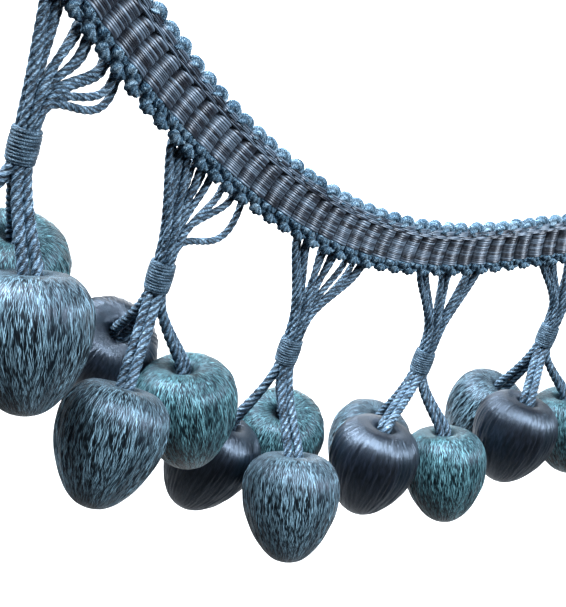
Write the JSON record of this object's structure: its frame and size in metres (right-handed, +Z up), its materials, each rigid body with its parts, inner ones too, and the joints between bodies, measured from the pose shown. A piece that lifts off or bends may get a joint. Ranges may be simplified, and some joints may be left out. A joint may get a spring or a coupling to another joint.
{
  "type": "ball fringe trim",
  "caption": "Cut length of ball fringe trim hanging in a swag: ribbed woven heading with looped edges and bound cord clusters that carry thread-covered balls.",
  "frame": {"origin": "the heading's top edge, at the gap below the reference rib near the swag's low point", "axes": "+X along the trim, -Y out of the heading's face, +Z up as it hangs"},
  "size_m": [0.2209, 0.0561, 0.1335],
  "materials": {
    "heading_cloth": "silky ribbed weave",
    "cord_yarn": "matt twisted yarn",
    "binding_thread": "satin wound thread",
    "ball_slate": "silky thread cover",
    "ball_teal": "silky thread cover",
    "ball_charcoal": "silky thread cover"
  },
  "bodies": {
    "root": {"heading": "heading_cloth", "cords_a": "cord_yarn", "binding_a": "binding_thread", "ball_slate_a": "ball_slate", "ball_teal_a": "ball_teal", "ball_charcoal_a": "ball_charcoal", "cords_b": "cord_yarn", "binding_b": "binding_thread", "ball_slate_b": "ball_slate", "ball_teal_b": "ball_teal", "ball_charcoal_b": "ball_charcoal", "cords_c": "cord_yarn", "binding_c": "binding_thread", "ball_slate_c": "ball_slate", "ball_teal_c": "ball_teal", "ball_charcoal_c": "ball_charcoal", "cords_d": "cord_yarn", "binding_d": "binding_thread", "ball_slate_d": "ball_slate", "ball_teal_d": "ball_teal", "ball_charcoal_d": "ball_charcoal", "cords_e": "cord_yarn", "binding_e": "binding_thread", "ball_slate_e": "ball_slate", "ball_teal_e": "ball_teal", "ball_charcoal_e": "ball_charcoal"}
  },
  "joints": []
}
